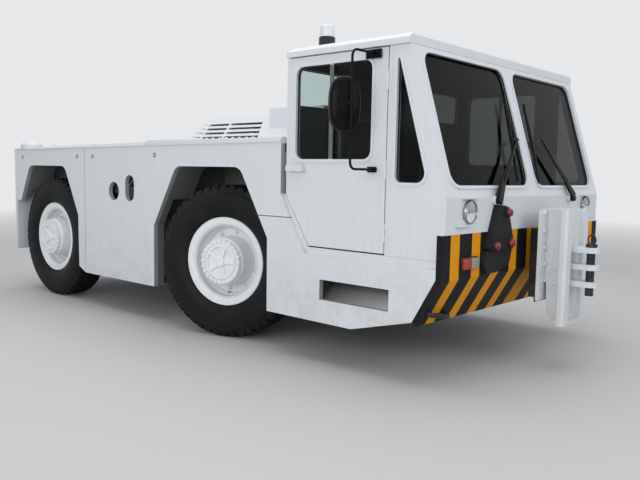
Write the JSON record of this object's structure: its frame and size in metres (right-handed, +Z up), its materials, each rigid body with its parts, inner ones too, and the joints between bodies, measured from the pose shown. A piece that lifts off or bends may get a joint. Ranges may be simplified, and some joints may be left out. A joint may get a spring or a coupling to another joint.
{
  "type": "aircraft pushback tractor",
  "caption": "Low heavy four-wheel tractor with a front cab, dished planetary wheels, a plated deck with a louvred hump and a multi-height drawbar hitch",
  "frame": {"origin": "on the ground, in the middle of the overall length and width", "axes": "+X forward, +Y to the tractor's left, +Z up"},
  "size_m": [6.1747, 3.0238, 2.389],
  "materials": {
    "body_paint": "glossy off-white brushed and sprayed paint",
    "chassis_black": "matt black chassis paint",
    "tyre": "dark worn rubber",
    "wheel_paint": "thick white wheel paint",
    "engine_grey": "painted casting",
    "cab_lining": "dark grained lining",
    "glass": "dark tinted flat glass",
    "black_plastic": "black moulded plastic and painted tube",
    "lamp_silver": "lamp rims and reflectors",
    "beacon_dome": "clear ribbed dome on a black foot",
    "black_steel": "blackened tow pin steel",
    "seat_vinyl": "black seat vinyl"
  },
  "bodies": {
    "root": {"chassis_frame": "chassis_black", "front_axle": "chassis_black", "rear_axle": "chassis_black", "power_unit": "engine_grey", "rear_plate": "body_paint", "side_rear_right": "body_paint", "side_rear_left": "body_paint", "side_mid_right": "body_paint", "side_mid_left": "body_paint", "cab_skirt_right": "body_paint", "cab_skirt_left": "body_paint", "deck_rear": "body_paint", "deck_front": "body_paint", "engine_cover": "body_paint", "cab_floor": "cab_lining", "cab_nose": "body_paint", "cab_rear_wall": "body_paint", "cab_roof": "body_paint", "cab_front_frame": "body_paint", "cab_glass": "glass", "front_lamps": "lamp_silver", "lamp_pod": "black_plastic", "beacon": "beacon_dome", "wipers": "black_plastic", "tow_hitch": "body_paint", "tow_pin": "black_steel", "seats": "seat_vinyl", "steering_wheel": "black_plastic", "dashboard": "cab_lining"},
    "steer_right": {"knuckle_right": "chassis_black"},
    "steer_left": {"knuckle_left": "chassis_black"},
    "roll_front_right": {"tyre_front_right": "tyre", "wheel_front_right": "wheel_paint"},
    "roll_front_left": {"tyre_front_left": "tyre", "wheel_front_left": "wheel_paint"},
    "roll_rear_right": {"tyre_rear_right": "tyre", "wheel_rear_right": "wheel_paint"},
    "roll_rear_left": {"tyre_rear_left": "tyre", "wheel_rear_left": "wheel_paint"},
    "door_leaf_right": {"door_right": "body_paint", "door_glass_right": "glass", "mirror_right": "black_plastic"},
    "door_leaf_left": {"door_left": "body_paint", "door_glass_left": "glass", "mirror_left": "black_plastic"}
  },
  "joints": [
    {"name": "steering_right", "type": "hinge", "parent": "root", "child": "steer_right", "pos_m": [0.4495, -0.832, 0.613], "axis": [0, 0, 1], "range_deg": [-48, 16]},
    {"name": "steering_left", "type": "hinge", "parent": "root", "child": "steer_left", "pos_m": [0.4495, 0.832, 0.613], "axis": [0, 0, 1], "range_deg": [-48, 16]},
    {"name": "wheel_spin_front_right", "type": "hinge", "parent": "steer_right", "child": "roll_front_right", "pos_m": [0.5027, -1.01752, 0.613], "axis": [0.2756, -0.9613, 0], "continuous": true},
    {"name": "wheel_spin_front_left", "type": "hinge", "parent": "steer_left", "child": "roll_front_left", "pos_m": [0.3963, 1.01752, 0.613], "axis": [0.2756, -0.9613, 0], "continuous": true},
    {"name": "wheel_spin_rear_right", "type": "hinge", "parent": "root", "child": "roll_rear_right", "pos_m": [-2.1655, -1.025, 0.613], "axis": [0, -1, 0], "continuous": true},
    {"name": "wheel_spin_rear_left", "type": "hinge", "parent": "root", "child": "roll_rear_left", "pos_m": [-2.1655, 1.025, 0.613], "axis": [0, -1, 0], "continuous": true},
    {"name": "door_hinge_right", "type": "hinge", "parent": "root", "child": "door_leaf_right", "pos_m": [2.1535, -1.198, 1.4], "axis": [0, 0, 1], "range_deg": [0, 70]},
    {"name": "door_hinge_left", "type": "hinge", "parent": "root", "child": "door_leaf_left", "pos_m": [2.1535, 1.198, 1.4], "axis": [0, 0, 1], "range_deg": [-70, 0]}
  ],
  "couplings": [
    {"joint": "steering_left", "follows": "steering_right", "ratio": 1}
  ]
}
